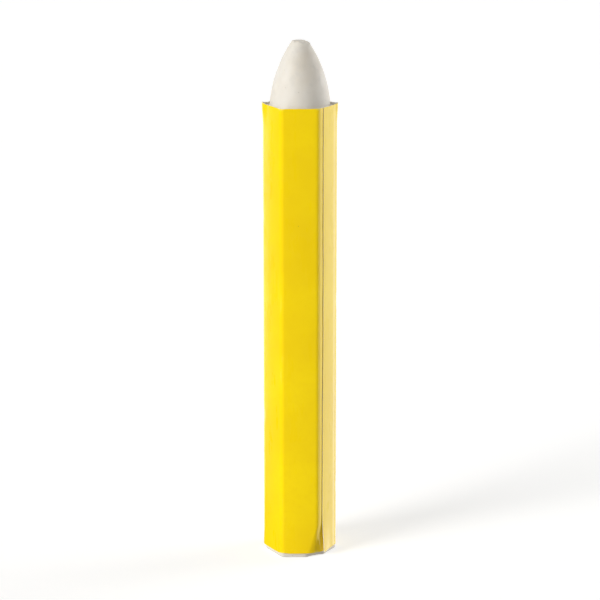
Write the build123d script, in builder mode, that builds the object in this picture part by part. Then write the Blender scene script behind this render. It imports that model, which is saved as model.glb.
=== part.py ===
from build123d import *
from math import atan2, cos, degrees, radians, sin, tan
import os

# A carpenter's marking crayon: a hexagonal stick of wax-bound chalk in a sleeve made of
# one sheet of label paper. Millimetres, +Z along the stick towards its tip, a facet to -Y.
# The origin is the middle of the core's tail face, on which the stick stands.

# marking core
core_across_flats = 13.9
core_corner_radius = 1.0
shoulder_height = 100.2
shoulder_round = 0.2
tail_chamfer = 0.2
tip_length = 13.9
tip_base_radius = 6.6
tip_base_lean = 4.0           # degrees, between the side of the tip at its base and the axis
nose_flat_radius = 1.8        # blunt end, as moulded and a little worn
nose_edge_radius = 0.6

# paper sleeve
paper_thickness = 0.15
sliding_clearance = 0.05      # between the paper and each flat of the core
sleeve_length = 99.5
sleeve_lift = 1.0             # the sleeve's lower edge above the tail face

# seam, along the facet on which the sheet laps over itself, from that facet's rear corner
ramp_foot = 1.2
ramp_top = 2.2
ramp_bend_radius = 1.5
inner_edge = 2.5
free_edge_to_corner = 1.5     # from the outer layer's free edge to the facet's front corner

# paste inside the seam
paste_thickness = 0.05
paste_margin = 0.5            # bare strip along each edge of the lap
paste_bottom = 10.0           # height where the paste starts: the flap is open below it
paste_top_margin = 1.0

facets = 6
half_facet_angle = 180 / facets
lap_rear_corner_angle = 0
lap_facet_angle = lap_rear_corner_angle - half_facet_angle

bore_flat = core_across_flats / 2 + sliding_clearance
bore_corner = bore_flat / cos(radians(half_facet_angle))
bore_corner_radius = core_corner_radius + sliding_clearance
facet_width = 2 * bore_flat * tan(radians(half_facet_angle))
lap_rise = paper_thickness + paste_thickness
free_edge = facet_width - free_edge_to_corner


def polar_point(distance, angle):
    return Vector(distance * cos(radians(angle)), distance * sin(radians(angle)))


# Directions on the lapped facet: outwards, and from its rear corner to its front corner.
lap_outward = polar_point(1, lap_facet_angle)
lap_forward = polar_point(1, lap_facet_angle - 90)
lap_rear_corner = polar_point(bore_corner, lap_rear_corner_angle)


def lap_point(along, rise):
    return lap_rear_corner + lap_forward * along + lap_outward * rise


# marking core: hexagonal body, flat shoulder, ogive tip with a blunt nose, eased tail
lean = radians(tip_base_lean)
tip_taper = tip_base_radius - nose_flat_radius

# The ogive's radius, from its lean at the base and from reaching the nose's edge.
ogive_radius = (tip_taper**2 + tip_length**2) / (2 * (tip_taper * cos(lean) - tip_length * sin(lean)))
ogive_centre = (
    tip_base_radius - ogive_radius * cos(lean),
    shoulder_height - ogive_radius * sin(lean),
)
core_height = shoulder_height + tip_length
nose_angle = degrees(
    atan2(core_height - ogive_centre[1], nose_flat_radius - ogive_centre[0])
)

with BuildPart() as marking_core:
    with BuildSketch():
        RegularPolygon(core_across_flats / 2, facets, major_radius=False)
        fillet(vertices(), core_corner_radius)
    extrude(amount=shoulder_height)
    fillet(faces().sort_by(Axis.Z)[-1].edges(), shoulder_round)
    chamfer(faces().sort_by(Axis.Z)[0].edges(), tail_chamfer)
    with BuildSketch(Plane.XZ):
        with BuildLine():
            side = CenterArc(ogive_centre, ogive_radius, tip_base_lean, nose_angle - tip_base_lean)
            Polyline(side @ 1, (0, core_height), (0, shoulder_height), side @ 0)
        make_face()
    revolve(axis=Axis.Z)
    fillet(faces().sort_by(Axis.Z)[-1].edges(), nose_edge_radius)
marking_core.part.label = "marking_core"

# paper sleeve: the sheet starts under the lap, follows the six corners of the core once
# round, climbs over its own edge and ends near the lapped facet's front corner
corner_angles = [lap_rear_corner_angle - 60 * turn for turn in range(1, facets + 1)]
ramp_angle = atan2(lap_rise, ramp_top - ramp_foot)


def sheet_outline(rise):
    """The sheet's line at a distance above its inner face, with one radius for each bend."""
    ramp_shift = rise * tan(ramp_angle / 2)
    corner_distance = (bore_flat + rise) / cos(radians(half_facet_angle))
    points = [lap_point(inner_edge, rise)]
    points += [polar_point(corner_distance, angle) for angle in corner_angles]
    points += [
        lap_point(ramp_foot - ramp_shift, rise),
        lap_point(ramp_top - ramp_shift, lap_rise + rise),
        lap_point(free_edge, lap_rise + rise),
    ]
    radii = [bore_corner_radius + rise] * facets
    radii += [ramp_bend_radius - rise, ramp_bend_radius + rise]
    return points, radii


inner_points, inner_radii = sheet_outline(0)
outer_points, outer_radii = sheet_outline(paper_thickness)

with BuildPart() as paper_wrapper:
    with BuildSketch(Plane.XY.offset(sleeve_lift)):
        with BuildLine():
            inner_face = FilletPolyline(*inner_points, radius=inner_radii)
            outer_face = FilletPolyline(*outer_points, radius=outer_radii)
            Line(inner_face @ 0, outer_face @ 0)
            Line(inner_face @ 1, outer_face @ 1)
        make_face()
    extrude(amount=sleeve_length)
paper_wrapper.part.label = "paper_wrapper"

# seam paste: a flat dried strip between the two layers of the lap
paste_start = inner_edge + paste_margin
paste_end = free_edge - paste_margin
paste_top = sleeve_lift + sleeve_length - paste_top_margin
paste_middle = lap_point((paste_start + paste_end) / 2, paper_thickness)
paste_plane = Plane(
    origin=(paste_middle.X, paste_middle.Y, (paste_bottom + paste_top) / 2),
    x_dir=lap_forward,
    z_dir=lap_outward,
)

with BuildPart() as seam_paste:
    with BuildSketch(paste_plane):
        Rectangle(paste_end - paste_start, paste_top - paste_bottom)
    extrude(amount=paste_thickness)
seam_paste.part.label = "seam_paste"

os.makedirs("parts", exist_ok=True)
export_step(marking_core.part, "parts/marking_core.step")
export_step(paper_wrapper.part, "parts/paper_wrapper.step")
export_step(seam_paste.part, "parts/seam_paste.step")
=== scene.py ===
import math

import bmesh
import bpy
import numpy as np
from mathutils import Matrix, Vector, noise


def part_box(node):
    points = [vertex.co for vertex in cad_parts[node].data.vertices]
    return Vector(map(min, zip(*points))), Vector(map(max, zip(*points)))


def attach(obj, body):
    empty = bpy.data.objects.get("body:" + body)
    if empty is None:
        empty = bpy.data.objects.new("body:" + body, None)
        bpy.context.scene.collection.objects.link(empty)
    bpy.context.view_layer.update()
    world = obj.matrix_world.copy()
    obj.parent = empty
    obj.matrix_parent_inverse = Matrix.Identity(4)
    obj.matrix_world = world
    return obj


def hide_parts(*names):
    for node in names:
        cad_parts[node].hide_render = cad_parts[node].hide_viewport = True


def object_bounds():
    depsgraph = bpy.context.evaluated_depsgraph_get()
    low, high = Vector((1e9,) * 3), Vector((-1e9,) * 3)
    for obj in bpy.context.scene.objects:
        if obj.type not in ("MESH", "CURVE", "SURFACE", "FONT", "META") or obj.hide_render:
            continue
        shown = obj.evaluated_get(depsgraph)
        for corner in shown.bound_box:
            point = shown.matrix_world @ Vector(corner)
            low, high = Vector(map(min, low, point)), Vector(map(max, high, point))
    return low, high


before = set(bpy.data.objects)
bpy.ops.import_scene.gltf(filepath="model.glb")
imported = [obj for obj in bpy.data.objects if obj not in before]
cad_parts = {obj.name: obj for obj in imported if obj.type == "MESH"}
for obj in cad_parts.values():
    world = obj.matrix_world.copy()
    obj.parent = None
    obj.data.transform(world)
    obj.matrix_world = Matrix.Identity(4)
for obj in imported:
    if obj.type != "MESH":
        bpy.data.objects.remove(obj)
cadLow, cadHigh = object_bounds()
mm = 0.001


def linearColour(code):
    # sRGB hex to the linear values that shader sockets take
    parts = [int(code[i:i + 2], 16) / 255 for i in (1, 3, 5)]
    return [c / 12.92 if c <= 0.04045 else ((c + 0.055) / 1.055) ** 2.4 for c in parts] + [1.0]


def setInputs(tree, node, inputs):
    # an input takes a value, or another node's socket as a link
    for key, value in inputs.items():
        if isinstance(value, bpy.types.NodeSocket):
            tree.links.new(value, node.inputs[key])
        else:
            node.inputs[key].default_value = value


def addNode(tree, kind, settings, inputs):
    node = tree.nodes.new(kind)
    for name, value in settings.items():
        setattr(node, name, value)
    setInputs(tree, node, inputs)
    return node


def newMaterial(name):
    # a material, its tree, its shader and the Object coordinates that its patterns read
    material = bpy.data.materials.new(name)
    material.use_nodes = True
    tree = material.node_tree
    place = addNode(tree, "ShaderNodeTexCoord", {}, {}).outputs["Object"]
    return material, tree, tree.nodes["Principled BSDF"], place


def perMm(size):
    # scale for a pattern this many mm wide, on Object coordinates in metres
    return 1 / (size * mm)


def smoothStep(low, high, value):
    t = np.clip((value - low) / (high - low), 0, 1)
    return t * t * (3 - 2 * t)


def noiseAt(points, size, seed):
    # smooth noise from -1 to 1 at points in mm, its bumps about this many mm wide
    offset = Vector((17.3 * seed, 5.1 * seed, 9.7 * seed))
    return np.array([noise.noise(Vector(p) / size + offset) for p in points])


def meshPiece(name, points, faces, materials):
    # points in mm
    mesh = bpy.data.meshes.new(name)
    mesh.from_pydata((np.asarray(points) * mm).tolist(), [], faces)
    piece = bpy.data.objects.new(name, mesh)
    bpy.context.scene.collection.objects.link(piece)
    for material in materials:
        mesh.materials.append(material)
    return piece


def linePiece(name, points, breakAfter=None):
    # points joined into a line, or into two where it breaks after that many of them
    links = [(i, i + 1) for i in range(len(points) - 1) if i + 1 != breakAfter]
    piece = meshPiece(name, points, [], [])
    piece.data.edges.add(len(links))
    piece.data.edges.foreach_set("vertices", [end for link in links for end in link])
    return piece


def readPoints(piece):
    co = np.empty(len(piece.data.vertices) * 3, np.float32)
    piece.data.vertices.foreach_get("co", co)
    return co.reshape(-1, 3).astype(float) / mm


def writePoints(piece, points):
    piece.data.vertices.foreach_set("co", (np.asarray(points) * mm).astype(np.float32).ravel())
    piece.data.update()


def readLayer(piece, name):
    layer = piece.data.attributes[name]
    values = np.empty(len(layer.data), np.float32)
    layer.data.foreach_get("value", values)
    return values.astype(float)


def writeLayer(piece, name, values):
    layer = piece.data.attributes.new(name, "FLOAT", "POINT")
    layer.data.foreach_set("value", np.asarray(values, np.float32))


def settleMesh(piece):
    # swaps the piece's modifiers for the plain mesh that they make
    bpy.context.view_layer.update()
    graph = bpy.context.evaluated_depsgraph_get()
    mesh = bpy.data.meshes.new_from_object(piece.evaluated_get(graph), depsgraph=graph)
    mesh.name = piece.name
    piece.modifiers.clear()
    piece.data = mesh


def shadeSmooth(piece, angle):
    piece.data.polygons.foreach_set("use_smooth", [True] * len(piece.data.polygons))
    piece.data.set_sharp_from_angle(angle=math.radians(angle))


def thickenSheet(piece, settings):
    wall = piece.modifiers.new("thickness", "SOLIDIFY")
    for name, value in settings.items():
        setattr(wall, name, value)
    settleMesh(piece)
    shadeSmooth(piece, 50)


def faceOutward(piece):
    builder = bmesh.new()
    builder.from_mesh(piece.data)
    bmesh.ops.remove_doubles(builder, verts=builder.verts, dist=1e-7)
    bmesh.ops.recalc_face_normals(builder, faces=builder.faces)
    builder.to_mesh(piece.data)
    builder.free()


def newTree(name, sockets):
    # a Geometry Nodes tree with a geometry in and out and these named inputs
    tree = bpy.data.node_groups.new(name, "GeometryNodeTree")
    tree.interface.new_socket("Geometry", in_out="INPUT", socket_type="NodeSocketGeometry")
    tree.interface.new_socket("Geometry", in_out="OUTPUT", socket_type="NodeSocketGeometry")
    for label, kind in sockets.items():
        tree.interface.new_socket(label, in_out="INPUT", socket_type="NodeSocket" + kind)
    return tree, tree.nodes.new("NodeGroupInput").outputs


def growPiece(piece, tree, values):
    # runs the tree on the piece: each value goes to the socket of that name by its identifier
    modifier = piece.modifiers.new(tree.name, "NODES")
    modifier.node_group = tree
    for item in tree.interface.items_tree:
        if item.in_out == "INPUT" and item.name in values:
            modifier[item.identifier] = values[item.name]
    settleMesh(piece)


def finishTree(tree, geometry, material):
    # every tree ends the same way: real geometry with its material, nothing left as instances
    whole = addNode(tree, "GeometryNodeRealizeInstances", {}, {"Geometry": geometry})
    coloured = addNode(tree, "GeometryNodeSetMaterial", {}, {
        "Geometry": whole.outputs[0], "Material": material})
    addNode(tree, "NodeGroupOutput", {}, {0: coloured.outputs[0]})


def roundedHexagon(acrossFlats, cornerRadius, flatSteps, cornerSteps):
    # outline with corners towards 0, 60, 120 ... degrees and the same count of points each side
    reach = (acrossFlats / 2 - cornerRadius) / math.cos(math.radians(30))
    points = []
    for corner in range(6):
        middle = math.radians(60 * corner)
        centre = np.array([math.cos(middle), math.sin(middle)]) * reach
        for step in range(cornerSteps + 1):
            turn = middle + math.radians(60) * (step / cornerSteps - 0.5)
            points.append(centre + cornerRadius * np.array([math.cos(turn), math.sin(turn)]))
        after = middle + math.radians(60)
        nextCentre = np.array([math.cos(after), math.sin(after)]) * reach
        flatStart = points[-1]
        flatEnd = nextCentre + (flatStart - centre)
        for step in range(1, flatSteps):
            points.append(flatStart + (flatEnd - flatStart) * step / flatSteps)
    return np.array(points)


# The marking core: a moulded stick of chalk and wax, hexagonal up to the shoulder, round above.
coreLow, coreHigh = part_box("marking_core")
coreSize = {
    "acrossFlats": (coreHigh.y - coreLow.y) / mm,
    "length": (coreHigh.z - coreLow.z) / mm,    # as worn
    "cornerRadius": 1.0,
    "tipLength": 14.8,         # as moulded
    "tipBaseRadius": 6.6,
    "tipBaseLean": 4.0,        # degrees
    "noseRadius": 2.2,
    "noseWear": 0.9,           # how much the used nose has lost
    "noseSlant": (0.16, -0.05, 1.0),
    "breakTurn": -60.0,        # degrees: which corner broke off the tail
    "breakDepth": 1.35,
    "breakHeight": 8.0,
    "flatSteps": 24,           # points along a facet and round a corner
    "cornerSteps": 8,
    "lumps": 0.05,             # depth of a moulding's unevenness, and of its grain
    "grain": 0.018,
    "seed": 3,
    # chips: centre, how far they reach, how deep, and which way the missing piece left;
    # the tip's heights are from the shoulder, the tail's from the tail face
    "tipChips": [
        ((1.25, -0.95, 14.1), 0.85, 0.3, (0.5, -0.4, 0.75)),
        ((-0.9, -1.3, 13.9), 0.55, 0.16, (-0.3, -0.6, 0.7)),
        ((1.9, -1.2, 12.4), 0.6, 0.12, (0.8, -0.5, 0.3)),
        ((-1.7, 0.9, 13.2), 0.9, 0.25, (-0.8, 0.4, 0.5)),
        ((0.4, 2.0, 13.0), 0.8, 0.2, (0.1, 0.9, 0.4)),
        ((2.7, -3.6, 8.2), 0.6, 0.07, (0.6, -0.8, 0.1)),
        ((-5.2, -2.8, 4.4), 0.9, 0.06, (-0.8, -0.5, 0.1)),
    ],
    "tailChips": [
        ((-7.7, 0.2, 0.2), 1.3, 0.3, (-0.8, 0.0, -0.5)),
        ((3.9, 6.6, 0.1), 1.2, 0.25, (0.5, 0.8, -0.4)),
    ],
}


def waxChalk():
    # wax-bound chalk, moulded: dry and matt, a little light gets in, so its shadows stay soft
    look = {
        "body": "#DCD7CD", "warm": "#D6CEC0", "grey": "#CAC6BD", "poreShade": "#C4BDB0",
        "powder": "#E4DED3", "mottle": 2.6, "cloud": 9.0, "grit": 0.34, "pits": 1.5,
    }
    material, tree, shader, place = newMaterial("waxChalkMoulded")
    cloud, mottle, grit = [
        addNode(tree, "ShaderNodeTexNoise", {}, {
            "Vector": place, "Scale": perMm(look[label]), "Detail": detail,
            "Roughness": rough}).outputs["Fac"]
        for label, detail, rough in (("cloud", 3.0, 0.55), ("mottle", 5.0, 0.6), ("grit", 4.0, 0.65))]
    pits = addNode(tree, "ShaderNodeTexVoronoi", {}, {
        "Vector": place, "Scale": perMm(look["pits"]), "Randomness": 1.0}).outputs
    worn = addNode(tree, "ShaderNodeAttribute", {"attribute_name": "worn"}, {}).outputs["Fac"]
    # pores are small, open and far apart; their floors get a darker colour, painted shade in the hollow
    warmth, greyness, pore, roughness = [
        addNode(tree, "ShaderNodeMapRange", {}, {
            "Value": value, "From Min": low, "From Max": high, "To Min": first,
            "To Max": last}).outputs[0]
        for value, low, high, first, last in (
            (cloud, 0.38, 0.66, 0.0, 1.0), (mottle, 0.52, 0.74, 0.0, 0.55),
            (pits["Distance"], 0.03, 0.12, 1.0, 0.0), (mottle, 0.3, 0.7, 0.5, 0.66))]
    someCells = addNode(tree, "ShaderNodeMath", {"operation": "GREATER_THAN"}, {
        0: addNode(tree, "ShaderNodeSeparateColor", {}, {0: pits["Color"]}).outputs[0], 1: 0.62})
    # worn places are powdery: whiter, rougher and with more grit
    poreDentAndShade, powder, rougher = [
        addNode(tree, "ShaderNodeMath", {"operation": "MULTIPLY"}, {0: share, 1: by}).outputs[0]
        for share, by in ((pore, someCells.outputs[0]), (worn, 0.5), (worn, 0.25))]
    # the pores' darker colour is painted shade in their hollows; the other mixes are the chalk's own
    # tone and powder
    colour = linearColour(look["body"])
    for amount, label in ((warmth, "warm"), (greyness, "grey"), (poreDentAndShade, "poreShade"),
                          (powder, "powder")):
        colour = addNode(tree, "ShaderNodeMix", {"data_type": "RGBA"}, {
            0: amount, 6: colour, 7: linearColour(look[label])}).outputs[2]
    matt = addNode(tree, "ShaderNodeMath", {"operation": "ADD", "use_clamp": True}, {
        0: roughness, 1: rougher})
    gritStrength = addNode(tree, "ShaderNodeMath", {"operation": "MULTIPLY_ADD"}, {
        0: worn, 1: 1.6, 2: 1.0})
    gritHeight = addNode(tree, "ShaderNodeMath", {"operation": "MULTIPLY"}, {
        0: grit, 1: gritStrength.outputs[0]})
    height = addNode(tree, "ShaderNodeMath", {"operation": "MULTIPLY_ADD"}, {
        0: poreDentAndShade, 1: -1.2, 2: gritHeight.outputs[0]})
    bump = addNode(tree, "ShaderNodeBump", {}, {
        "Height": height.outputs[0], "Strength": 0.55, "Distance": 0.035 * mm})
    lumps = addNode(tree, "ShaderNodeBump", {}, {
        "Height": mottle, "Strength": 0.5, "Distance": 0.12 * mm, "Normal": bump.outputs[0]})
    setInputs(tree, shader, {
        "Base Color": colour, "Roughness": matt.outputs[0], "Normal": lumps.outputs[0],
        "Subsurface Weight": 0.12, "Subsurface Radius": (1.0, 0.85, 0.65),
        "Subsurface Scale": 0.5 * mm, "Specular IOR Level": 0.4})
    return material


def hexagonRings(outline, shoulder):
    # the body from its tail face to its shoulder, one ring of points for each height
    outward = outline / np.linalg.norm(outline, axis=1)[:, None]
    rings = [(outline * share, 0.0) for share in (0.03, 0.3, 0.55, 0.8)]
    # eased edges, here and at the shoulder: how far in, and how far from the end
    for inset, height in [(0.2, 0.0), (0.12, 0.03), (0.05, 0.09), (0.01, 0.17), (0.0, 0.28)]:
        rings.append((outline - outward * inset, height))
    # close together where the tail broke and under the shoulder, far apart between
    heights = [*np.arange(0.45, 9.0, 0.25), *np.arange(9.6, shoulder - 2.4, 0.9),
               *np.arange(shoulder - 2.2, shoulder - 0.3, 0.25)]
    rings += [(outline, height) for height in heights]
    for inset, drop in [(0.0, 0.3), (0.03, 0.17), (0.1, 0.06), (0.22, 0.0)]:
        rings.append((outline - outward * inset, shoulder - drop))
    return rings


def tipRings(circle, ledge, shoulder):
    # the flat ledge, then the tip: ogive side and round nose, two arcs that meet smoothly
    size = coreSize
    baseRadius, noseRadius = size["tipBaseRadius"], size["noseRadius"]
    base = circle * baseRadius
    rings = [(ledge + (base - ledge) * share, shoulder) for share in (0.4, 0.75, 0.93)]
    rings.append((circle * (baseRadius + 0.03), shoulder + 0.02))
    lean = math.radians(size["tipBaseLean"])
    sideHeight = size["tipLength"] - noseRadius
    ogive = (baseRadius ** 2 + sideHeight ** 2 - noseRadius ** 2) / (
        2 * (baseRadius * math.cos(lean) - sideHeight * math.sin(lean) - noseRadius))
    centreX = baseRadius - ogive * math.cos(lean)
    centreZ = -ogive * math.sin(lean)
    noseStart = math.atan2(sideHeight - centreZ, -centreX)
    for turn in np.linspace(lean, noseStart, 66)[:-1]:
        radius = centreX + ogive * math.cos(turn)
        rise = centreZ + ogive * math.sin(turn)
        rings.append((circle * radius, shoulder + rise + 0.06 * (rise < 0.01)))
    for turn in np.linspace(noseStart, math.radians(89), 18):
        rise = sideHeight + noseRadius * math.sin(turn)
        rings.append((circle * noseRadius * math.cos(turn), shoulder + rise))
    return rings


def joinRings(rings, around, topHeight):
    # walls between the rings, a flat tail face and a fan round the topmost point
    points = [[*flat, height] for ring, height in rings for flat in ring]
    faces = []
    for row in range(len(rings) - 1):
        for step in range(around):
            beside = (step + 1) % around
            faces.append((row * around + step, row * around + beside,
                          (row + 1) * around + beside, (row + 1) * around + step))
    faces.append(tuple(range(around - 1, -1, -1)))
    top = len(points) - around
    points.append([0, 0, topHeight])
    for step in range(around):
        faces.append((top + step, top + (step + 1) % around, len(points) - 1))
    return np.array(points), faces


def roughenCore(points, shoulder):
    # unevenness goes inwards only, so the stick still slides in its sleeve
    size = coreSize
    radial = points * [1, 1, 0]
    radial /= np.maximum(np.linalg.norm(radial, axis=1), 0.3)[:, None]
    isTip = smoothStep(shoulder, shoulder + 1.5, points[:, 2])
    lumps = (noiseAt(points, 5.0, size["seed"]) - 0.6) * size["lumps"]
    lumps += (noiseAt(points, 1.9, size["seed"] + 1) - 0.6) * size["lumps"] * 0.4
    grain = (noiseAt(points, 0.55, size["seed"] + 2) - 0.4) * size["grain"]
    points += radial * ((lumps + grain * (0.4 + 0.6 * isTip))[:, None])


def wearNose(points):
    # the used nose: pressed flat on a slant, with a ragged rim; this and the next two functions
    # move the points and return how worn each of them is
    size = coreSize
    slant = np.array(size["noseSlant"])
    slant /= np.linalg.norm(slant)
    faceAt = np.array([0, 0, size["length"]])
    over = (points - faceAt) @ slant + noiseAt(points, 0.9, size["seed"] + 5) * 0.09
    sharpness = 14                                      # of the rim, per mm
    pressed = np.log1p(np.exp(np.clip(over * sharpness, -30, 30))) / sharpness
    points -= slant * (pressed * 0.93)[:, None]
    return smoothStep(-1.2, 0.1, over)


def breakCorner(points, outline):
    # the tail's corner that broke away: everything beyond a ragged slanting plane is gone
    size = coreSize
    turn = math.radians(size["breakTurn"])
    corner = np.array([math.cos(turn), math.sin(turn), 0])
    breakAway = corner - [0, 0, size["breakDepth"] / size["breakHeight"]]
    breakAway /= np.linalg.norm(breakAway)
    breakTop = corner * np.max(outline @ corner[:2]) + [0, 0, size["breakHeight"]]
    beyond = (points - breakTop) @ breakAway + noiseAt(points, 0.8, size["seed"] + 7) * 0.1
    beyond = np.maximum(beyond, 0) * (points[:, 2] < size["breakHeight"] + 1)
    points -= breakAway * beyond[:, None]
    return smoothStep(0.0, 0.1, beyond) * 0.6


def chipAway(points, centre, reach, depth, away):
    # one chip out of the surface
    distance = np.linalg.norm(points - centre, axis=1)
    ragged = distance + noiseAt(points, 0.5 * reach, 11) * 0.16 * reach
    share = smoothStep(reach, reach * 0.35, ragged)
    points -= np.array(away) * (share * depth)[:, None]
    return share * 0.8


def makeCore():
    size = coreSize
    outline = roundedHexagon(size["acrossFlats"], size["cornerRadius"], size["flatSteps"],
                             size["cornerSteps"])
    around = len(outline)
    # the circle's points, spaced evenly, one for each point of the hexagon
    turns = (np.arange(around) - size["cornerSteps"] / 2) * 2 * math.pi / around
    circle = np.column_stack([np.cos(turns), np.sin(turns)])
    newLength = size["length"] + size["noseWear"]
    shoulder = newLength - size["tipLength"]
    rings = hexagonRings(outline, shoulder)
    rings += tipRings(circle, rings[-1][0], shoulder)
    points, faces = joinRings(rings, around, newLength)

    roughenCore(points, shoulder)
    worn = wearNose(points)
    worn = np.maximum(worn, breakCorner(points, outline))
    for (x, y, height), reach, depth, away in size["tipChips"]:
        worn = np.maximum(worn, chipAway(points, (x, y, shoulder + height), reach, depth, away))
    for centre, reach, depth, away in size["tailChips"]:
        worn = np.maximum(worn, chipAway(points, centre, reach, depth, away))
    points[:, 2] = np.clip(points[:, 2], 0, size["length"])

    core = meshPiece("chalkCore", points, faces, [waxChalk()])
    writeLayer(core, "worn", worn)
    faceOutward(core)
    shadeSmooth(core, 50)
    print("core:", len(core.data.vertices), "of", len(points), "points")
    return core


core = makeCore()
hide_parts("marking_core")
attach(core, "core")


# Crumbs of chalk that cling to the core wherever it is worn or broken.
crumbSize = {
    "largest": 0.16,           # half a crumb's length
    "density": 5.0,            # crumbs on a square mm of the most worn surface
    "jagged": 0.5,
    "seed": 4,
}


def crumbTree():
    tree, given = newTree("scatterCrumbs", {
        "Density": "Float", "Largest": "Float", "Jagged": "Float", "Seed": "Int",
        "Material": "Material"})
    worn = addNode(tree, "GeometryNodeInputNamedAttribute", {"data_type": "FLOAT"}, {
        "Name": "worn"}).outputs["Attribute"]
    density = addNode(tree, "ShaderNodeMath", {"operation": "MULTIPLY"}, {
        0: addNode(tree, "ShaderNodeMath", {"operation": "POWER"}, {0: worn, 1: 2.0}).outputs[0],
        1: given["Density"]})
    spots = addNode(tree, "GeometryNodeDistributePointsOnFaces", {}, {
        "Mesh": given["Geometry"], "Density": density.outputs[0], "Seed": given["Seed"]})
    # one jagged crumb: a twenty-sided lump with its corners pushed in and out
    lump = addNode(tree, "GeometryNodeMeshIcoSphere", {}, {"Radius": 1.0, "Subdivisions": 1})
    shape = addNode(tree, "ShaderNodeTexNoise", {}, {"Scale": 1.7, "Detail": 0.0})
    push = addNode(tree, "ShaderNodeMath", {"operation": "MULTIPLY_ADD"}, {
        0: shape.outputs["Fac"], 1: given["Jagged"], 2: addNode(
            tree, "ShaderNodeMath", {"operation": "MULTIPLY_ADD"}, {
                0: given["Jagged"], 1: -0.5, 2: 1.0}).outputs[0]})
    place = addNode(tree, "GeometryNodeInputPosition", {}, {}).outputs[0]
    crumb = addNode(tree, "GeometryNodeSetPosition", {}, {
        "Geometry": lump.outputs["Mesh"], "Position": addNode(
            tree, "ShaderNodeVectorMath", {"operation": "SCALE"}, {
                0: place, "Scale": push.outputs[0]}).outputs[0]})
    # most are dust and a few are large, because the random share is squared
    share = addNode(tree, "FunctionNodeRandomValue", {"data_type": "FLOAT"}, {
        2: 0.35, 3: 1.0, "Seed": given["Seed"]}).outputs[1]
    length = addNode(tree, "ShaderNodeMath", {"operation": "MULTIPLY"}, {
        0: addNode(tree, "ShaderNodeMath", {"operation": "POWER"}, {0: share, 1: 2.0}).outputs[0],
        1: given["Largest"]}).outputs[0]
    squash, spin = [
        addNode(tree, "FunctionNodeRandomValue", {"data_type": "FLOAT_VECTOR"}, {
            0: least, 1: most, "Seed": given["Seed"]}).outputs[0]
        for least, most in (((0.5, 0.4, 0.3), (1.0, 0.8, 0.6)), ((0.0,) * 3, (2 * math.pi,) * 3))]
    scattered = addNode(tree, "GeometryNodeInstanceOnPoints", {}, {
        "Points": spots.outputs["Points"], "Instance": crumb.outputs[0], "Rotation": spin,
        "Scale": addNode(tree, "ShaderNodeVectorMath", {"operation": "SCALE"}, {
            0: squash, "Scale": length}).outputs[0]})
    finishTree(tree, scattered.outputs[0], given["Material"])
    return tree


def makeCrumbs():
    size = crumbSize
    crumbs = bpy.data.objects.new("chalkCrumbs", core.data.copy())
    bpy.context.scene.collection.objects.link(crumbs)
    growPiece(crumbs, crumbTree(), {
        "Density": size["density"] / mm**2, "Largest": size["largest"] * mm,
        "Jagged": size["jagged"], "Seed": size["seed"], "Material": core.data.materials[0]})
    crumbs.data.name = "chalkCrumbs"
    points = readPoints(crumbs)
    points[:, 2] = np.maximum(points[:, 2], 0)      # none stands out below the tail
    writePoints(crumbs, points)
    print("crumbs:", len(crumbs.data.polygons) // 20)
    return crumbs


crumbs = makeCrumbs()
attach(crumbs, "core")


# The paper sleeve: one printed sheet wound once round the core and lapped over itself.
sleeveLow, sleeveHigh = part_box("paper_wrapper")
sleeveSize = {
    "acrossFlats": (sleeveHigh.y - sleeveLow.y) / mm - 0.06,    # outside, drawn tight
    "lowerEdge": sleeveLow.z / mm,
    "length": (sleeveHigh.z - sleeveLow.z) / mm,
    "thickness": 0.09,
    "foldRadius": 1.3,
    "rampRadius": 1.3,         # of the two bends where the lap climbs over the sheet's own edge
    "lapRise": 0.12,           # the lap's outer layer stands this far above the layer under it
    "rampFoot": 1.2,           # along the lapped facet from its rear corner, as are the next three
    "rampTop": 2.2,
    "innerEdge": 2.5,
    "freeEdge": 6.58,
    "rowSpacing": 0.5,
    "columnSpacing": 0.42,
    "bow": 0.1,                # how far the middle of a facet stands off the core
    "cutWander": 0.09,         # unevenness of the two cut ends
    "flapOpen": 10.0,          # height up to which the lap has come unstuck
    "flapLift": 0.42,
    "sunkWidth": 2.2,          # where the sheet has sunk in over the core's broken corner
    "sunkHeight": 6.6,
    "sunkDepth": 0.72,
    "seed": 8,
    # corners of the two cut ends: turn, how far it stands up, how far out, reach
    "upperCorners": [
        (180, 0.3, 0.24, 2.2), (0, 0.16, 0.2, 2.0), (120, 0.1, 0.1, 1.6),
        (60, 0.15, 0.14, 1.8), (-120, -0.06, 0.04, 1.4), (-60, 0.05, 0.05, 1.5)],
    "lowerCorners": [
        (180, 0.12, 0.06, 1.8), (120, -0.05, 0.1, 1.6),
        (60, 0.1, 0.1, 1.7), (-120, 0.1, -0.02, 1.5)],
    # knocks along the folds: turn, height, reach, depth
    "knocks": [
        (-120, 63.0, 1.2, 0.04), (180, 31.0, 1.6, 0.07), (180, 76.0, 1.0, 0.07),
        (120, 48.0, 1.9, 0.1), (60, 20.0, 1.4, 0.1), (61, 88.0, 2.0, 0.1),
        (0, 57.0, 1.5, 0.06), (119, 93.0, 1.3, 0.1), (0, 15.0, 1.2, 0.05)],
}


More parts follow.
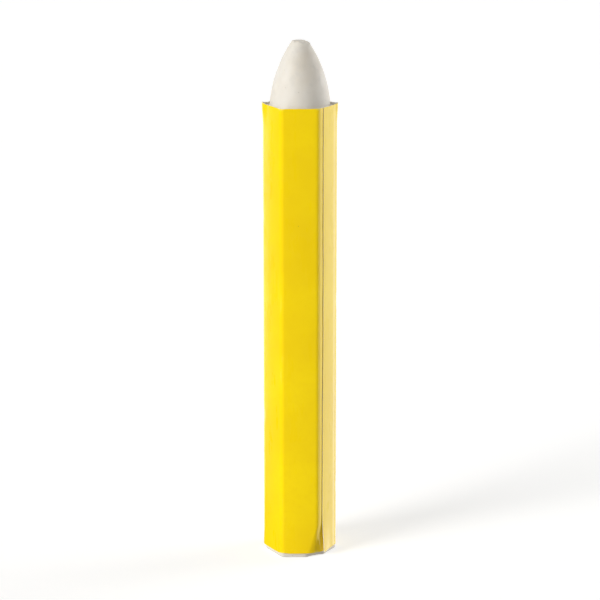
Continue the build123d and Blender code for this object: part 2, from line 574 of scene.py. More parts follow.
def bentLine(corners, radii, flatStep, bendSteps):
    # a line with rounded bends: its points, their directions and their distances along it
    places, headings = [corners[0]], []
    for before, here, after, radius in zip(corners, corners[1:], corners[2:], radii):
        arrive = (here - before) / np.linalg.norm(here - before)
        leave = (after - here) / np.linalg.norm(after - here)
        turn = math.atan2(arrive[0] * leave[1] - arrive[1] * leave[0], arrive @ leave)
        setback = radius * math.tan(abs(turn) / 2)
        side = np.array([-arrive[1], arrive[0]]) * math.copysign(1, turn)
        bendStart = here - arrive * setback
        centre = bendStart + side * radius
        steps = max(2, round(np.linalg.norm(bendStart - places[-1]) / flatStep))
        places += list(np.linspace(places[-1], bendStart, steps + 1)[1:])
        headings += [arrive] * (steps + (len(headings) == 0))
        for step in range(1, bendSteps + 1):
            angle = turn * step / bendSteps
            spin = np.array([[math.cos(angle), -math.sin(angle)], [math.sin(angle), math.cos(angle)]])
            places.append(centre + spin @ (bendStart - centre))
            headings.append(spin @ arrive)
    steps = max(2, round(np.linalg.norm(corners[-1] - places[-1]) / flatStep))
    places += list(np.linspace(places[-1], corners[-1], steps + 1)[1:])
    headings += [headings[-1]] * steps
    places = np.array(places)
    along = np.concatenate([[0], np.cumsum(np.linalg.norm(np.diff(places, axis=0), axis=1))])
    return places, np.array(headings), along


def lapDirections():
    # on the lapped facet: outwards, and from its rear corner to its front corner
    turn = math.radians(-30)
    outward = np.array([math.cos(turn), math.sin(turn)])
    forward = np.array([outward[1], -outward[0]])
    return outward, forward


def lapPoint(along, offAxis):
    # a place on the lapped facet, from its rear corner's foot and its distance from the axis
    outward, forward = lapDirections()
    return outward * offAxis + forward * (along - halfFacet)


halfFacet = (sleeveSize["acrossFlats"] / 2 - sleeveSize["thickness"]) * math.tan(math.radians(30))


def sheetOutline():
    # the line of the sheet's printed face, from the edge under the lap round to the free edge
    size = sleeveSize
    flat = size["acrossFlats"] / 2
    reach = flat / math.cos(math.radians(30))
    corners = [lapPoint(size["innerEdge"], flat)]
    for turn in np.radians(np.arange(-60, -361, -60)):
        corners.append(np.array([math.cos(turn), math.sin(turn)]) * reach)
    for label, rise in (("rampFoot", 0.0), ("rampTop", size["lapRise"]), ("freeEdge", size["lapRise"])):
        corners.append(lapPoint(size[label], flat + rise))
    radii = [size["foldRadius"]] * 6 + [size["rampRadius"]] * 2
    return bentLine(corners, radii, size["columnSpacing"], 6)


def wrapTree():
    # wraps a flat grid round an outline: one column for each point, lifted row by row
    tree, given = newTree("wrapSheet", {
        "Rows": "Int", "Lower Edge": "Float", "Length": "Float", "Bow": "Float",
        "Wave": "Float", "Wave Size": "Float", "Seed": "Float", "Material": "Material"})
    outline = given["Geometry"]
    columns = addNode(tree, "GeometryNodeAttributeDomainSize", {"component": "MESH"}, {
        "Geometry": outline}).outputs["Point Count"]
    grid = addNode(tree, "GeometryNodeMeshGrid", {}, {
        "Vertices X": columns, "Vertices Y": given["Rows"]}).outputs["Mesh"]
    index = addNode(tree, "GeometryNodeInputIndex", {}, {}).outputs[0]
    column = addNode(tree, "ShaderNodeMath", {"operation": "FLOOR"}, {
        0: addNode(tree, "ShaderNodeMath", {"operation": "DIVIDE"}, {
            0: index, 1: given["Rows"]}).outputs[0]}).outputs[0]
    row = addNode(tree, "ShaderNodeMath", {"operation": "MODULO"}, {
        0: index, 1: given["Rows"]}).outputs[0]
    lastRow = addNode(tree, "ShaderNodeMath", {"operation": "SUBTRACT"}, {
        0: given["Rows"], 1: 1.0}).outputs[0]
    evenly = addNode(tree, "ShaderNodeMath", {"operation": "DIVIDE"}, {
        0: row, 1: lastRow}).outputs[0]
    # rows crowd together towards both ends, where the sheet is torn, dented and curled
    circling = addNode(tree, "ShaderNodeMath", {"operation": "SINE"}, {
        0: addNode(tree, "ShaderNodeMath", {"operation": "MULTIPLY"}, {
            0: evenly, 1: 2 * math.pi}).outputs[0]}).outputs[0]
    share = addNode(tree, "ShaderNodeMath", {"operation": "MULTIPLY_ADD"}, {
        0: circling, 1: -0.8 / (2 * math.pi), 2: evenly}).outputs[0]
    height = addNode(tree, "ShaderNodeMath", {"operation": "MULTIPLY_ADD"}, {
        0: share, 1: given["Length"], 2: given["Lower Edge"]}).outputs[0]
    place = addNode(tree, "GeometryNodeInputPosition", {}, {}).outputs[0]
    here = addNode(tree, "GeometryNodeSampleIndex", {"data_type": "FLOAT_VECTOR"}, {
        "Geometry": outline, "Value": place, "Index": column}).outputs[0]
    samples = {}
    for label, kind in (("outward", "FLOAT_VECTOR"), ("along", "FLOAT"), ("belly", "FLOAT")):
        stored = addNode(tree, "GeometryNodeInputNamedAttribute", {"data_type": kind}, {
            "Name": label}).outputs["Attribute"]
        samples[label] = addNode(tree, "GeometryNodeSampleIndex", {"data_type": kind}, {
            "Geometry": outline, "Value": stored, "Index": column}).outputs[0]
    lifted = addNode(tree, "ShaderNodeVectorMath", {"operation": "ADD"}, {
        0: here, 1: addNode(tree, "ShaderNodeCombineXYZ", {}, {"Z": height}).outputs[0]})
    # the sheet stands off the core most in the middle of a facet, and more in some places
    ripple = addNode(tree, "ShaderNodeTexNoise", {"noise_dimensions": "4D"}, {
        "Vector": lifted.outputs[0], "W": given["Seed"],
        "Scale": addNode(tree, "ShaderNodeMath", {"operation": "DIVIDE"}, {
            0: 1.0, 1: given["Wave Size"]}).outputs[0], "Detail": 2.0})
    rippled = addNode(tree, "ShaderNodeMath", {"operation": "MULTIPLY"}, {
        0: ripple.outputs["Fac"], 1: given["Wave"]}).outputs[0]
    standOff = addNode(tree, "ShaderNodeMath", {"operation": "MULTIPLY"}, {
        0: addNode(tree, "ShaderNodeMath", {"operation": "ADD"}, {
            0: rippled, 1: given["Bow"]}).outputs[0],
        1: samples["belly"]}).outputs[0]
    push = addNode(tree, "ShaderNodeVectorMath", {"operation": "SCALE"}, {
        0: samples["outward"], "Scale": standOff}).outputs[0]
    bowed = addNode(tree, "ShaderNodeVectorMath", {"operation": "ADD"}, {
        0: lifted.outputs[0], 1: push}).outputs[0]
    wrapped = addNode(tree, "GeometryNodeSetPosition", {}, {
        "Geometry": grid, "Position": bowed}).outputs[0]
    for label, kind, value in (("along", "FLOAT", samples["along"]),
                               ("outward", "FLOAT_VECTOR", samples["outward"])):
        wrapped = addNode(tree, "GeometryNodeStoreNamedAttribute", {"data_type": kind}, {
            "Geometry": wrapped, "Name": label, "Value": value}).outputs[0]
    finishTree(tree, wrapped, given["Material"])
    return tree


def printedPaper():
    # label paper, offset-printed yellow and varnished: a thin gloss over a faint tooth, its ink
    # rubbed thin along the folds and cut ends, where the sheet's own white starts to show
    look = {
        "ink": "#FEDD00", "inkDeep": "#F7D200", "inkThin": "#FBE97C", "dirt": "#8C7420",
        "patch": 14.0, "mottle": 1.1, "tooth": 0.28, "ripple": 6.0, "scuff": 3.0, "specks": 5.0,
    }
    material, tree, shader, place = newMaterial("labelPaperPrinted")
    # scuffs run along the stick
    drawnOut = addNode(tree, "ShaderNodeMapping", {}, {"Vector": place, "Scale": (1.0, 1.0, 0.22)})
    patch, mottle, tooth, ripple, scuff = [
        addNode(tree, "ShaderNodeTexNoise", {}, {
            "Vector": where, "Scale": perMm(look[label]), "Detail": detail,
            "Roughness": rough}).outputs["Fac"]
        for label, where, detail, rough in (
            ("patch", place, 2.0, 0.5), ("mottle", place, 5.0, 0.6), ("tooth", place, 3.0, 0.6),
            ("ripple", place, 3.0, 0.5), ("scuff", drawnOut.outputs[0], 6.0, 0.7))]
    specks = addNode(tree, "ShaderNodeTexVoronoi", {}, {
        "Vector": place, "Scale": perMm(look["specks"])}).outputs
    rubbed = addNode(tree, "ShaderNodeAttribute", {"attribute_name": "rubbed"}, {}).outputs["Fac"]
    # rubbing eats into the ink in streaks
    rubEdge = addNode(tree, "ShaderNodeMath", {"operation": "ADD"}, {
        0: rubbed, 1: scuff}).outputs[0]
    # dirt specks are ragged, so the fine noise of the tooth eats into their round cells
    ragged = addNode(tree, "ShaderNodeMath", {"operation": "MULTIPLY_ADD"}, {
        0: tooth, 1: 0.06, 2: specks["Distance"]}).outputs[0]
    deeper, blotchy, rub, speck, gloss = [
        addNode(tree, "ShaderNodeMapRange", {}, {
            "Value": value, "From Min": low, "From Max": high, "To Min": first,
            "To Max": last}).outputs[0]
        for value, low, high, first, last in (
            (patch, 0.35, 0.68, 0.0, 1.0), (mottle, 0.45, 0.75, 0.0, 0.45),
            (rubEdge, 1.0, 1.45, 0.0, 0.8), (ragged, 0.035, 0.052, 0.7, 0.0),
            (scuff, 0.3, 0.75, 0.24, 0.36))]
    someCells = addNode(tree, "ShaderNodeMath", {"operation": "GREATER_THAN"}, {
        0: addNode(tree, "ShaderNodeSeparateColor", {}, {0: specks["Color"]}).outputs[0], 1: 0.8})
    speckHere = addNode(tree, "ShaderNodeMath", {"operation": "MULTIPLY"}, {
        0: speck, 1: someCells.outputs[0]}).outputs[0]
    colour = linearColour(look["ink"])
    for amount, label in ((deeper, "inkDeep"), (blotchy, "inkDeep"), (rub, "inkThin"),
                          (speckHere, "dirt")):
        colour = addNode(tree, "ShaderNodeMix", {"data_type": "RGBA"}, {
            0: amount, 6: colour, 7: linearColour(look[label])}).outputs[2]
    duller = addNode(tree, "ShaderNodeMath", {"operation": "MULTIPLY_ADD", "use_clamp": True}, {
        0: rub, 1: 0.3, 2: gloss})
    toothBump = addNode(tree, "ShaderNodeBump", {}, {
        "Height": tooth, "Strength": 0.6, "Distance": 0.02 * mm})
    rippleBump = addNode(tree, "ShaderNodeBump", {}, {
        "Height": ripple, "Strength": 0.5, "Distance": 0.1 * mm, "Normal": toothBump.outputs[0]})
    setInputs(tree, shader, {
        "Base Color": colour, "Roughness": duller.outputs[0], "Normal": rippleBump.outputs[0],
        "Specular IOR Level": 0.1, "Coat Weight": 1.0, "Coat Roughness": 0.14,
        "Coat Normal": rippleBump.outputs[0]})
    return material


def paperStock():
    # the sheet's own uncoated stock on its back and cut edges: white, matt and fibrous
    look = {"pulp": "#FAF8F1", "shade": "#EEEADD", "fibre": 0.5, "cloud": 4.0}
    material, tree, shader, place = newMaterial("labelPaperStock")
    # fibres lie along the machine direction, so the pattern is pulled out along the stick
    fibre = addNode(tree, "ShaderNodeTexNoise", {}, {
        "Vector": addNode(tree, "ShaderNodeMapping", {}, {
            "Vector": place, "Scale": (1.0, 1.0, 0.3)}).outputs[0],
        "Scale": perMm(look["fibre"]), "Detail": 6.0, "Roughness": 0.7, "Distortion": 0.6})
    cloud = addNode(tree, "ShaderNodeTexNoise", {}, {
        "Vector": place, "Scale": perMm(look["cloud"]), "Detail": 2.0})
    both = addNode(tree, "ShaderNodeMath", {"operation": "MULTIPLY"}, {
        0: fibre.outputs["Fac"], 1: cloud.outputs["Fac"]})
    amount = addNode(tree, "ShaderNodeMapRange", {}, {
        "Value": both.outputs[0], "From Min": 0.16, "From Max": 0.4})
    colour = addNode(tree, "ShaderNodeMix", {"data_type": "RGBA"}, {
        0: amount.outputs[0], 6: linearColour(look["pulp"]), 7: linearColour(look["shade"])})
    roughness = addNode(tree, "ShaderNodeMapRange", {}, {
        "Value": fibre.outputs["Fac"], "To Min": 0.78, "To Max": 0.95})
    bump = addNode(tree, "ShaderNodeBump", {}, {
        "Height": fibre.outputs["Fac"], "Strength": 0.6, "Distance": 0.03 * mm})
    setInputs(tree, shader, {
        "Base Color": colour.outputs[2], "Roughness": roughness.outputs[0],
        "Normal": bump.outputs[0], "Specular IOR Level": 0.3})
    return material


printed, stock = printedPaper(), paperStock()


def unevenEnds(points, height, radial, turns):
    # cut ends wander, and their corners lift and flare where nothing holds them; this and the
    # next function move the points and return how much ink each of them has lost
    size = sleeveSize
    bottom, top = size["lowerEdge"], size["lowerEdge"] + size["length"]
    fromEnd = np.minimum(height - bottom, top - height)
    edgePlace = np.column_stack([points[:, :2], np.sign(height - (bottom + top) / 2) * 40])
    wander = noiseAt(edgePlace, 4.5, size["seed"]) * size["cutWander"]
    wander += noiseAt(edgePlace, 0.7, size["seed"] + 1) * size["cutWander"] * 0.3
    points[:, 2] += wander * smoothStep(4, 0, fromEnd)
    for level, corners in ((top, size["upperCorners"]), (bottom, size["lowerCorners"])):
        for turn, lift, flare, reach in corners:
            aside = np.abs((turns - turn + 180) % 360 - 180) / 30 * halfFacet
            share = smoothStep(reach, 0, aside)
            share *= smoothStep(2.2 * reach, 0, np.abs(height - level))
            points[:, 2] += share * lift
            points += radial * (share * flare)[:, None]
    return smoothStep(0.9, 0.0, fromEnd) * 0.45


def openLap(points, height, onLap):
    # the lap's free edge isn't straight, it gapes a little where the paste missed, and at the
    # bottom it has come open and curls away
    size = sleeveSize
    bottom = size["lowerEdge"]
    lapOutward, lapForward = lapDirections()
    fromEdge = size["freeEdge"] - (points[:, :2] @ lapForward + halfFacet)
    nearFree = smoothStep(2.4, 0, fromEdge) * onLap
    level = np.column_stack([np.zeros(len(points)), np.zeros(len(points)), height])
    slide = noiseAt(level, 14.0, size["seed"] + 2) * 0.17 + noiseAt(level, 2.6, 31) * 0.05
    slide += smoothStep(60, bottom, height) * 0.25
    points[:, :2] += lapForward * (slide * nearFree)[:, None]
    gape = np.clip(noiseAt(level, 16.0, size["seed"] + 3), 0, 1) * 0.12
    points[:, :2] += lapOutward * (gape * nearFree**2)[:, None]
    opened = smoothStep(size["flapOpen"], bottom, height) * smoothStep(3.6, 0, fromEdge)
    curl = opened * onLap * size["flapLift"]
    points[:, :2] += lapOutward * curl[:, None]
    points[:, :2] -= lapForward * (curl * 0.3)[:, None]
    points[:, 2] += curl * 0.25
    return nearFree * smoothStep(0.5, 0.0, fromEdge) * 0.5


def sinkCorner(points, height, turns, onLap):
    # at the bottom the sheet has sunk into the gap that the core's broken corner left
    size = sleeveSize
    turn = math.radians(coreSize["breakTurn"])
    towards = np.array([math.cos(turn), math.sin(turn)])
    cornerAt = towards * size["acrossFlats"] / 2 / math.cos(math.radians(30))
    share = np.clip(1 - (height - size["lowerEdge"]) / size["sunkHeight"], 0, 1)
    # from the corner along the front facet, and along the lapped one
    alongFront = np.array([-1.0, 0.0])
    lapForward = lapDirections()[1]
    onFront = np.clip((points[:, :2] - cornerAt) @ alongFront, 0, None)
    onSide = np.clip(-(points[:, :2] - cornerAt) @ lapForward, 0, None)
    frontShare = np.clip(1 - onFront / np.maximum(size["sunkWidth"] * share, 0.05), 0, 1)
    sideShare = smoothStep(3.2, 0.0, onSide)
    nearCorner = (points[:, 1] < 0) & (turns > -100) & (turns < -20) & (onLap < 0.5)
    share = np.where(onFront > 0.02, frontShare, sideShare) * share * nearCorner
    buckle = 1 + 0.2 * noiseAt(points, 1.6, 41)
    points[:, :2] -= towards * (share * buckle * size["sunkDepth"])[:, None]


def shapeSleeve(sleeve):
    # what happens to the sheet in use; "rubbed" says how much ink each place has lost
    size = sleeveSize
    points = readPoints(sleeve)
    along = readLayer(sleeve, "along")
    height = points[:, 2].copy()
    radial = points * [1, 1, 0]
    radial /= np.linalg.norm(radial, axis=1)[:, None]
    turns = np.degrees(np.arctan2(points[:, 1], points[:, 0]))
    fromFold = np.abs((turns + 30) % 60 - 30) / 30 * halfFacet    # mm from the nearest fold
    rubbed = smoothStep(1.3, 0.15, fromFold)
    rubbed *= 0.3 + 0.35 * noiseAt(points * [1, 1, 0.25], 2.2, 21)
    rubbed += unevenEnds(points, height, radial, turns)
    fromSheetEnd = along.max() - along
    onLap = smoothStep(5.6, 4.4, fromSheetEnd)
    rubbed += openLap(points, height, onLap)
    sinkCorner(points, height, turns, onLap)
    foldReach = size["acrossFlats"] / 2 / math.cos(math.radians(30))
    for turn, level, reach, depth in size["knocks"]:
        middle = math.radians(turn)
        spot = [math.cos(middle) * foldReach, math.sin(middle) * foldReach, level]
        distance = np.linalg.norm((points - spot) / [1, 1, 1.7], axis=1)
        share = smoothStep(1, 0, distance / reach)
        points -= radial * (share * depth)[:, None]
        rubbed += share * 0.22
    writePoints(sleeve, points)
    writeLayer(sleeve, "rubbed", np.clip(rubbed, 0, 1))


wrapSheet = wrapTree()


def wrapOutline(name, outline, lowerEdge, length, rows, material):
    # lays the outline down as a line of points and wraps a sheet round it
    places, headings, along = outline
    count = len(places)
    sheet = linePiece(name, np.column_stack([places, np.zeros(count)]))
    # how much a point of the outline takes part in the bow: 1 in mid facet, 0 at a fold
    turns = np.degrees(np.arctan2(places[:, 1], places[:, 0]))
    fromMiddle = np.abs(turns % 60 - 30)
    writeLayer(sheet, "along", along)
    writeLayer(sheet, "belly", np.cos(np.radians(np.clip(fromMiddle, 0, 28) / 28 * 90)))
    outward = np.column_stack([-headings[:, 1], headings[:, 0], np.zeros(count)])
    layer = sheet.data.attributes.new("outward", "FLOAT_VECTOR", "POINT")
    layer.data.foreach_set("vector", outward.astype(np.float32).ravel())
    growPiece(sheet, wrapSheet, {
        "Rows": rows, "Lower Edge": lowerEdge * mm, "Length": length * mm,
        "Bow": sleeveSize["bow"] * 0.5 * mm, "Wave": sleeveSize["bow"] * mm, "Wave Size": 18 * mm,
        "Seed": float(sleeveSize["seed"]), "Material": material})
    # the faces must look away from the core before the sheet gets its thickness
    middle = sheet.data.polygons[len(sheet.data.polygons) // 2]
    if middle.normal.dot(Vector((middle.center.x, middle.center.y, 0))) < 0:
        sheet.data.flip_normals()
    return sheet


def makeSleeve():
    size = sleeveSize
    outline = sheetOutline()
    count = len(outline[0])
    rows = round(size["length"] / size["rowSpacing"]) + 1
    sleeve = wrapOutline("paperSleeve", outline, size["lowerEdge"], size["length"], rows, printed)
    shapeSleeve(sleeve)
    shaped = readPoints(sleeve)
    cutEdges = {"free": shaped[(count - 1) * rows:], "lower": shaped[::rows],
                "upper": shaped[rows - 1::rows]}
    sleeve.data.materials.append(stock)
    thickenSheet(sleeve, {"thickness": size["thickness"] * mm, "offset": -1,
                          "use_even_offset": True, "material_offset": 1, "material_offset_rim": 1})
    print("sleeve:", count, "columns,", rows, "rows,", len(sleeve.data.polygons), "faces")
    return sleeve, cutEdges


sleeve, cutEdges = makeSleeve()
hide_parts("paper_wrapper")
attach(sleeve, "sleeve")


# Fibres that stand out of the sheet's two cut ends, where the blade tore more than it cut.
fibreSize = {
    "spacing": 0.1,
    "thickness": 0.02,
    "longest": 0.2,
    "tilt": 14.0,              # degrees
    "curve": 0.25,             # how far a fibre's end bends aside, as a share of its length
    "seed": 6,
}


def fibreTree():
    tree, given = newTree("frayEdge", {
        "Spacing": "Float", "Thickness": "Float", "Longest": "Float", "Tilt": "Float",
        "Curve": "Float", "Seed": "Int", "Material": "Material"})
    line = addNode(tree, "GeometryNodeMeshToCurve", {}, {"Mesh": given["Geometry"]})
    spots = addNode(tree, "GeometryNodeCurveToPoints", {"mode": "LENGTH"}, {
        "Curve": line.outputs["Curve"], "Length": given["Spacing"]})
    # one fibre, 1 high and 2 across: three-sided, thinner at its end, bent aside
    straight = addNode(tree, "GeometryNodeMeshCone", {}, {
        "Vertices": 3, "Side Segments": 3, "Radius Top": 0.3, "Radius Bottom": 1.0, "Depth": 1.0})
    place = addNode(tree, "GeometryNodeInputPosition", {}, {}).outputs[0]
    height = addNode(tree, "ShaderNodeSeparateXYZ", {}, {0: place}).outputs[2]
    aside = addNode(tree, "ShaderNodeMath", {"operation": "MULTIPLY"}, {
        0: addNode(tree, "ShaderNodeMath", {"operation": "POWER"}, {0: height, 1: 2.0}).outputs[0],
        1: given["Curve"]}).outputs[0]
    bent = addNode(tree, "GeometryNodeSetPosition", {}, {
        "Geometry": straight.outputs["Mesh"],
        "Offset": addNode(tree, "ShaderNodeCombineXYZ", {}, {"X": aside}).outputs[0]})
    lengthShare, leanShare, spin = [
        addNode(tree, "FunctionNodeRandomValue", {"data_type": "FLOAT"}, {
            2: least, 3: most, "Seed": given["Seed"]}).outputs[1]
        for least, most in ((0.1, 1.0), (-1.0, 1.0), (0.0, 2 * math.pi))]
    thickness, length, lean = [
        addNode(tree, "ShaderNodeMath", {"operation": "MULTIPLY"}, {0: whole, 1: share}).outputs[0]
        for whole, share in ((given["Thickness"], 0.5), (given["Longest"], lengthShare),
                             (given["Tilt"], leanShare))]
    size = addNode(tree, "ShaderNodeCombineXYZ", {}, {
        "X": thickness, "Y": thickness, "Z": length}).outputs[0]
    # "down" turns the fibres of the lower end over
    down = addNode(tree, "GeometryNodeInputNamedAttribute", {"data_type": "FLOAT"}, {
        "Name": "down"}).outputs["Attribute"]
    turn = addNode(tree, "ShaderNodeMath", {"operation": "MULTIPLY_ADD"}, {
        0: down, 1: math.pi, 2: lean}).outputs[0]
    fibres = addNode(tree, "GeometryNodeInstanceOnPoints", {}, {
        "Points": spots.outputs["Points"], "Instance": bent.outputs[0],
        "Rotation": addNode(tree, "ShaderNodeCombineXYZ", {}, {"X": turn, "Z": spin}).outputs[0],
        "Scale": size})
    finishTree(tree, fibres.outputs[0], given["Material"])
    return tree


def makeFibres():
    size = fibreSize
    upper, lower = cutEdges["upper"], cutEdges["lower"]
    ends = np.vstack([upper, lower])
    radial = ends * [1, 1, 0]
    radial /= np.linalg.norm(radial, axis=1)[:, None]
    fibres = linePiece("cutEdgeFibres", ends - radial * sleeveSize["thickness"] / 2, len(upper))
    writeLayer(fibres, "down", [0.0] * len(upper) + [1.0] * len(lower))
    growPiece(fibres, fibreTree(), {
        "Spacing": size["spacing"] * mm, "Thickness": size["thickness"] * mm,
        "Longest": size["longest"] * mm, "Tilt": math.radians(size["tilt"]),
        "Curve": size["curve"], "Seed": size["seed"], "Material": stock})
    print("fibres:", len(fibres.data.polygons), "faces")
    return fibres


fibres = makeFibres()
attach(fibres, "sleeve")


# The dried paste that holds the lap: a thin ragged strip between its two layers, and the beads
# that were pressed out of it along the free edge.
pasteLow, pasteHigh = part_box("seam_paste")
pasteSize = {
    "lowerEdge": pasteLow.z / mm,
    "length": (pasteHigh.z - pasteLow.z) / mm,
    "rows": 141,
    "columns": 11,
    "insideMargin": 0.5,       # bare paper along the sheet's inner edge, and along its free edge
    "freeMargin": 0.3,
    "thickness": 0.02,
    "standOff": 0.004,
    "ragged": 0.25,
    "beadSpacing": 0.45,
    "beadShare": 0.3,
    "beadSize": 0.055,
    "seed": 5,
}


def driedPaste():
    # starch paste, brushed on and dried: clear amber, half glossy, crazed and uneven in depth
    look = {"thin": "#E9DDB2", "thick": "#CDB577", "depth": 1.6, "craze": 0.5}
    material, tree, shader, place = newMaterial("starchPasteDried")
    depth = addNode(tree, "ShaderNodeTexNoise", {}, {
        "Vector": place, "Scale": perMm(look["depth"]), "Detail": 4.0, "Roughness": 0.6})
    craze = addNode(tree, "ShaderNodeTexVoronoi", {"feature": "DISTANCE_TO_EDGE"}, {
        "Vector": place, "Scale": perMm(look["craze"])})
    colour = addNode(tree, "ShaderNodeMix", {"data_type": "RGBA"}, {
        0: addNode(tree, "ShaderNodeMapRange", {}, {
            "Value": depth.outputs["Fac"], "From Min": 0.35, "From Max": 0.65}).outputs[0],
        6: linearColour(look["thin"]), 7: linearColour(look["thick"])})
    crack = addNode(tree, "ShaderNodeMapRange", {}, {
        "Value": craze.outputs["Distance"], "From Max": 0.06, "To Min": 0.62, "To Max": 0.3})
    bump = addNode(tree, "ShaderNodeBump", {}, {
        "Height": depth.outputs["Fac"], "Strength": 0.5, "Distance": 0.01 * mm})
    setInputs(tree, shader, {
        "Base Color": colour.outputs[2], "Roughness": crack.outputs[0],
        "Normal": bump.outputs[0], "IOR": 1.48})
    return material


def makePaste(material):
    size = pasteSize
    start = sleeveSize["innerEdge"] + size["insideMargin"]
    end = sleeveSize["freeEdge"] - size["freeMargin"]
    steps = np.linspace(start, end, size["columns"])
    flat = sleeveSize["acrossFlats"] / 2 + size["standOff"]
    forward = lapDirections()[1]
    places = np.array([lapPoint(step, flat) for step in steps])
    headings = np.tile(forward, (len(steps), 1))
    paste = wrapOutline("pasteStrip", (places, headings, steps), size["lowerEdge"],
                        size["length"], size["rows"], material)
    points = readPoints(paste)
    along = readLayer(paste, "along")
    height = points[:, 2].copy()
    level = np.column_stack([np.sign(along - (start + end) / 2) * 9, np.zeros(len(points)), height])
    sides = noiseAt(level, 1.8, size["seed"]) + 0.5 * noiseAt(level, 0.5, size["seed"] + 1)
    atSide = smoothStep(0.5, 0, along - start) + smoothStep(0.5, 0, end - along)
    points[:, :2] += forward * (sides * atSide * size["ragged"])[:, None]
    atEnd = smoothStep(2, 0, height - height.min()) + smoothStep(2, 0, height.max() - height)
    across = np.column_stack([along, np.zeros(len(points)), np.sign(height - 50) * 9])
    inward = np.sign(height.mean() - height)
    points[:, 2] += inward * (0.5 + noiseAt(across, 0.8, size["seed"] + 2)) * atEnd * 0.6
    writePoints(paste, points)
    thickenSheet(paste, {"thickness": size["thickness"] * mm, "offset": 1})
    print("paste:", len(paste.data.polygons), "faces")
    return paste


def beadTree():
    tree, given = newTree("pressBeads", {
        "Spacing": "Float", "Share": "Float", "Size": "Float", "Seed": "Int",
        "Material": "Material"})
    line = addNode(tree, "GeometryNodeMeshToCurve", {}, {"Mesh": given["Geometry"]})
    spots = addNode(tree, "GeometryNodeCurveToPoints", {"mode": "LENGTH"}, {
        "Curve": line.outputs["Curve"], "Length": given["Spacing"]})
    chosen = addNode(tree, "FunctionNodeRandomValue", {"data_type": "BOOLEAN"}, {
        "Probability": given["Share"], "Seed": given["Seed"]}).outputs[3]
    bead = addNode(tree, "GeometryNodeMeshIcoSphere", {}, {"Radius": 1.0, "Subdivisions": 2})
    soft = addNode(tree, "GeometryNodeSetShadeSmooth", {}, {"Geometry": bead.outputs["Mesh"]})
    # beads run along the edge, so they are longer than they are wide
    stretch = addNode(tree, "FunctionNodeRandomValue", {"data_type": "FLOAT_VECTOR"}, {
        0: (0.5, 0.5, 0.8), 1: (1.0, 1.0, 3.6), "Seed": given["Seed"]}).outputs[0]
    beads = addNode(tree, "GeometryNodeInstanceOnPoints", {}, {
        "Points": spots.outputs["Points"], "Selection": chosen, "Instance": soft.outputs[0],
        "Scale": addNode(tree, "ShaderNodeVectorMath", {"operation": "SCALE"}, {
            0: stretch, "Scale": given["Size"]}).outputs[0]})
    finishTree(tree, beads.outputs[0], given["Material"])
    return tree


def makeBeads(material):
    # the beads sit in the corner between the free edge and the layer under it, above the open flap
    size = pasteSize
    outward = lapDirections()[0]
    inner = cutEdges["free"]
    level = inner[:, 2]
    inner = inner[(level > size["lowerEdge"]) & (level < size["lowerEdge"] + size["length"])]
    inner = inner - [*(outward * sleeveSize["thickness"]), 0]
    beads = linePiece("pasteBeads", inner)
    growPiece(beads, beadTree(), {
        "Spacing": size["beadSpacing"] * mm, "Share": size["beadShare"],
        "Size": size["beadSize"] * mm, "Seed": size["seed"], "Material": material})
    print("beads:", len(beads.data.polygons) // 80)
    return beads


dried = driedPaste()
paste = makePaste(dried)
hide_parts("seam_paste")
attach(paste, "sleeve")
beads = makeBeads(dried)
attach(beads, "sleeve")


# Floor, soft studio light and camera.
studio = {
    "floorWidth": 8.0, "floorPale": "#B9B8B6", "floorDeep": "#B6B5B3",
    "floorGlow": 0.7, "floorFill": 0.34,
    # strength, then in degrees: turn from the front towards the right, height and width
    "suns": {"keyLight": (3.1, -52.0, 24.0, 24.0), "rimLight": (2.1, 114.0, 14.0, 30.0)},
    "skyGlow": 0.1, "skySeen": 1.0,
    "cardTurn": 145.0, "cardBlack": 0.03, "cardWhite": 1.5,
    "cameraAt": (0.0, -0.538, 0.186), "lens": 151.5,
}


def litAcrylic():
    # opal acrylic lit from below: an even white with hardly a shadow, weaker where it lights others
    material, tree, shader, place = newMaterial("opalAcrylicLit")
    cloud = addNode(tree, "ShaderNodeTexNoise", {}, {
        "Vector": place, "Scale": perMm(260), "Detail": 2.0})
    colour = addNode(tree, "ShaderNodeMix", {"data_type": "RGBA"}, {
        0: cloud.outputs["Fac"], 6: linearColour(studio["floorPale"]),
        7: linearColour(studio["floorDeep"])})
    isDiffuse = addNode(tree, "ShaderNodeLightPath", {}, {}).outputs["Is Diffuse Ray"]
    glow = addNode(tree, "ShaderNodeMapRange", {}, {
        "Value": isDiffuse, "To Min": studio["floorGlow"], "To Max": studio["floorFill"]})
    setInputs(tree, shader, {
        "Base Color": colour.outputs[2], "Emission Strength": glow.outputs[0],
        "Emission Color": (1.0, 1.0, 1.0, 1.0), "Roughness": 1.0, "Specular IOR Level": 0.0})
    return material


def cardPaper(name, shade, glow):
    # matt card that only the gloss sees: black keeps the yellow deep, white lights its far side
    material = bpy.data.materials.new(name)
    material.use_nodes = True
    setInputs(material.node_tree, material.node_tree.nodes["Principled BSDF"], {
        "Base Color": (shade, shade, shade, 1.0), "Emission Color": (1.0, 1.0, 1.0, 1.0),
        "Emission Strength": glow, "Roughness": 1.0, "Specular IOR Level": 0.0})
    return material


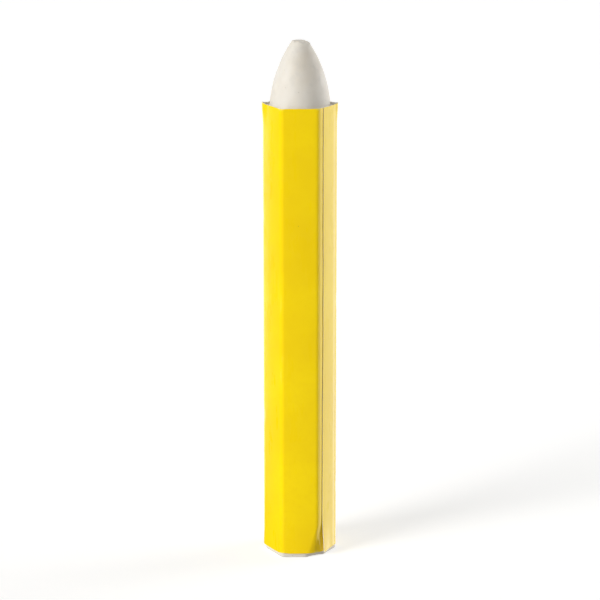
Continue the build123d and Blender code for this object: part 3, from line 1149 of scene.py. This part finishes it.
def addCard(name, turn, material):
    # a card from the middle of the table outwards, bent up where it ends
    turn = math.radians(turn)
    out = np.array([math.sin(turn), -math.cos(turn), 0])
    side = np.array([-out[1], out[0], 0])
    profile = [(0, 0.2), (700, 0.2), (900, 60), (960, 700)]
    points = [out * reach + side * across + [0, 0, height]
              for reach, height in profile for across in (-1500, 1500)]
    faces = [(2 * i, 2 * i + 1, 2 * i + 3, 2 * i + 2) for i in range(len(profile) - 1)]
    card = meshPiece(name, points, faces, [material])
    for ray in ("camera", "diffuse", "shadow", "transmission"):
        setattr(card, "visible_" + ray, False)


def addSun(name, strength, turn, height, width):
    lamp = bpy.data.lights.new(name, "SUN")
    lamp.energy = strength
    lamp.angle = math.radians(width)
    sun = bpy.data.objects.new(name, lamp)
    turn, height = math.radians(turn), math.radians(height)
    towards = Vector((math.sin(turn) * math.cos(height), -math.cos(turn) * math.cos(height),
                      math.sin(height)))
    sun.rotation_euler = towards.to_track_quat("Z", "Y").to_euler()
    bpy.context.scene.collection.objects.link(sun)


def makeStudio():
    half = studio["floorWidth"] * 500
    floor = meshPiece("studioFloor", [(-half, -half, 0), (half, -half, 0), (half, half, 0),
                                      (-half, half, 0)], [(0, 1, 2, 3)], [litAcrylic()])
    addCard("whiteCard", studio["cardTurn"], cardPaper("whiteCard", 0.0, studio["cardWhite"]))
    addCard("blackCard", studio["cardTurn"] + 180, cardPaper("blackCard", studio["cardBlack"], 0.0))
    for name, values in studio["suns"].items():
        addSun(name, *values)
    world = bpy.data.worlds.new("softSky")
    world.use_nodes = True
    bpy.context.scene.world = world
    tree = world.node_tree
    isDiffuse = addNode(tree, "ShaderNodeLightPath", {}, {}).outputs["Is Diffuse Ray"]
    strength = addNode(tree, "ShaderNodeMapRange", {}, {
        "Value": isDiffuse, "To Min": studio["skySeen"], "To Max": studio["skyGlow"]})
    setInputs(tree, tree.nodes["Background"], {
        "Strength": strength.outputs[0], "Color": (1.0, 1.0, 1.0, 1.0)})
    lens = bpy.data.cameras.new("camera")
    lens.lens = studio["lens"]
    lens.sensor_width = 36.0
    lens.clip_start = 0.02
    camera = bpy.data.objects.new("camera", lens)
    camera.location = studio["cameraAt"]
    middle = Vector((0, 0, (cadLow[2] + cadHigh[2]) / 2))
    camera.rotation_euler = (middle - camera.location).to_track_quat("-Z", "Y").to_euler()
    bpy.context.scene.collection.objects.link(camera)
    bpy.context.scene.camera = camera
    bpy.context.scene.view_settings.view_transform = "Standard"
    print("studio: floor, two lights, sky and camera")


makeStudio()
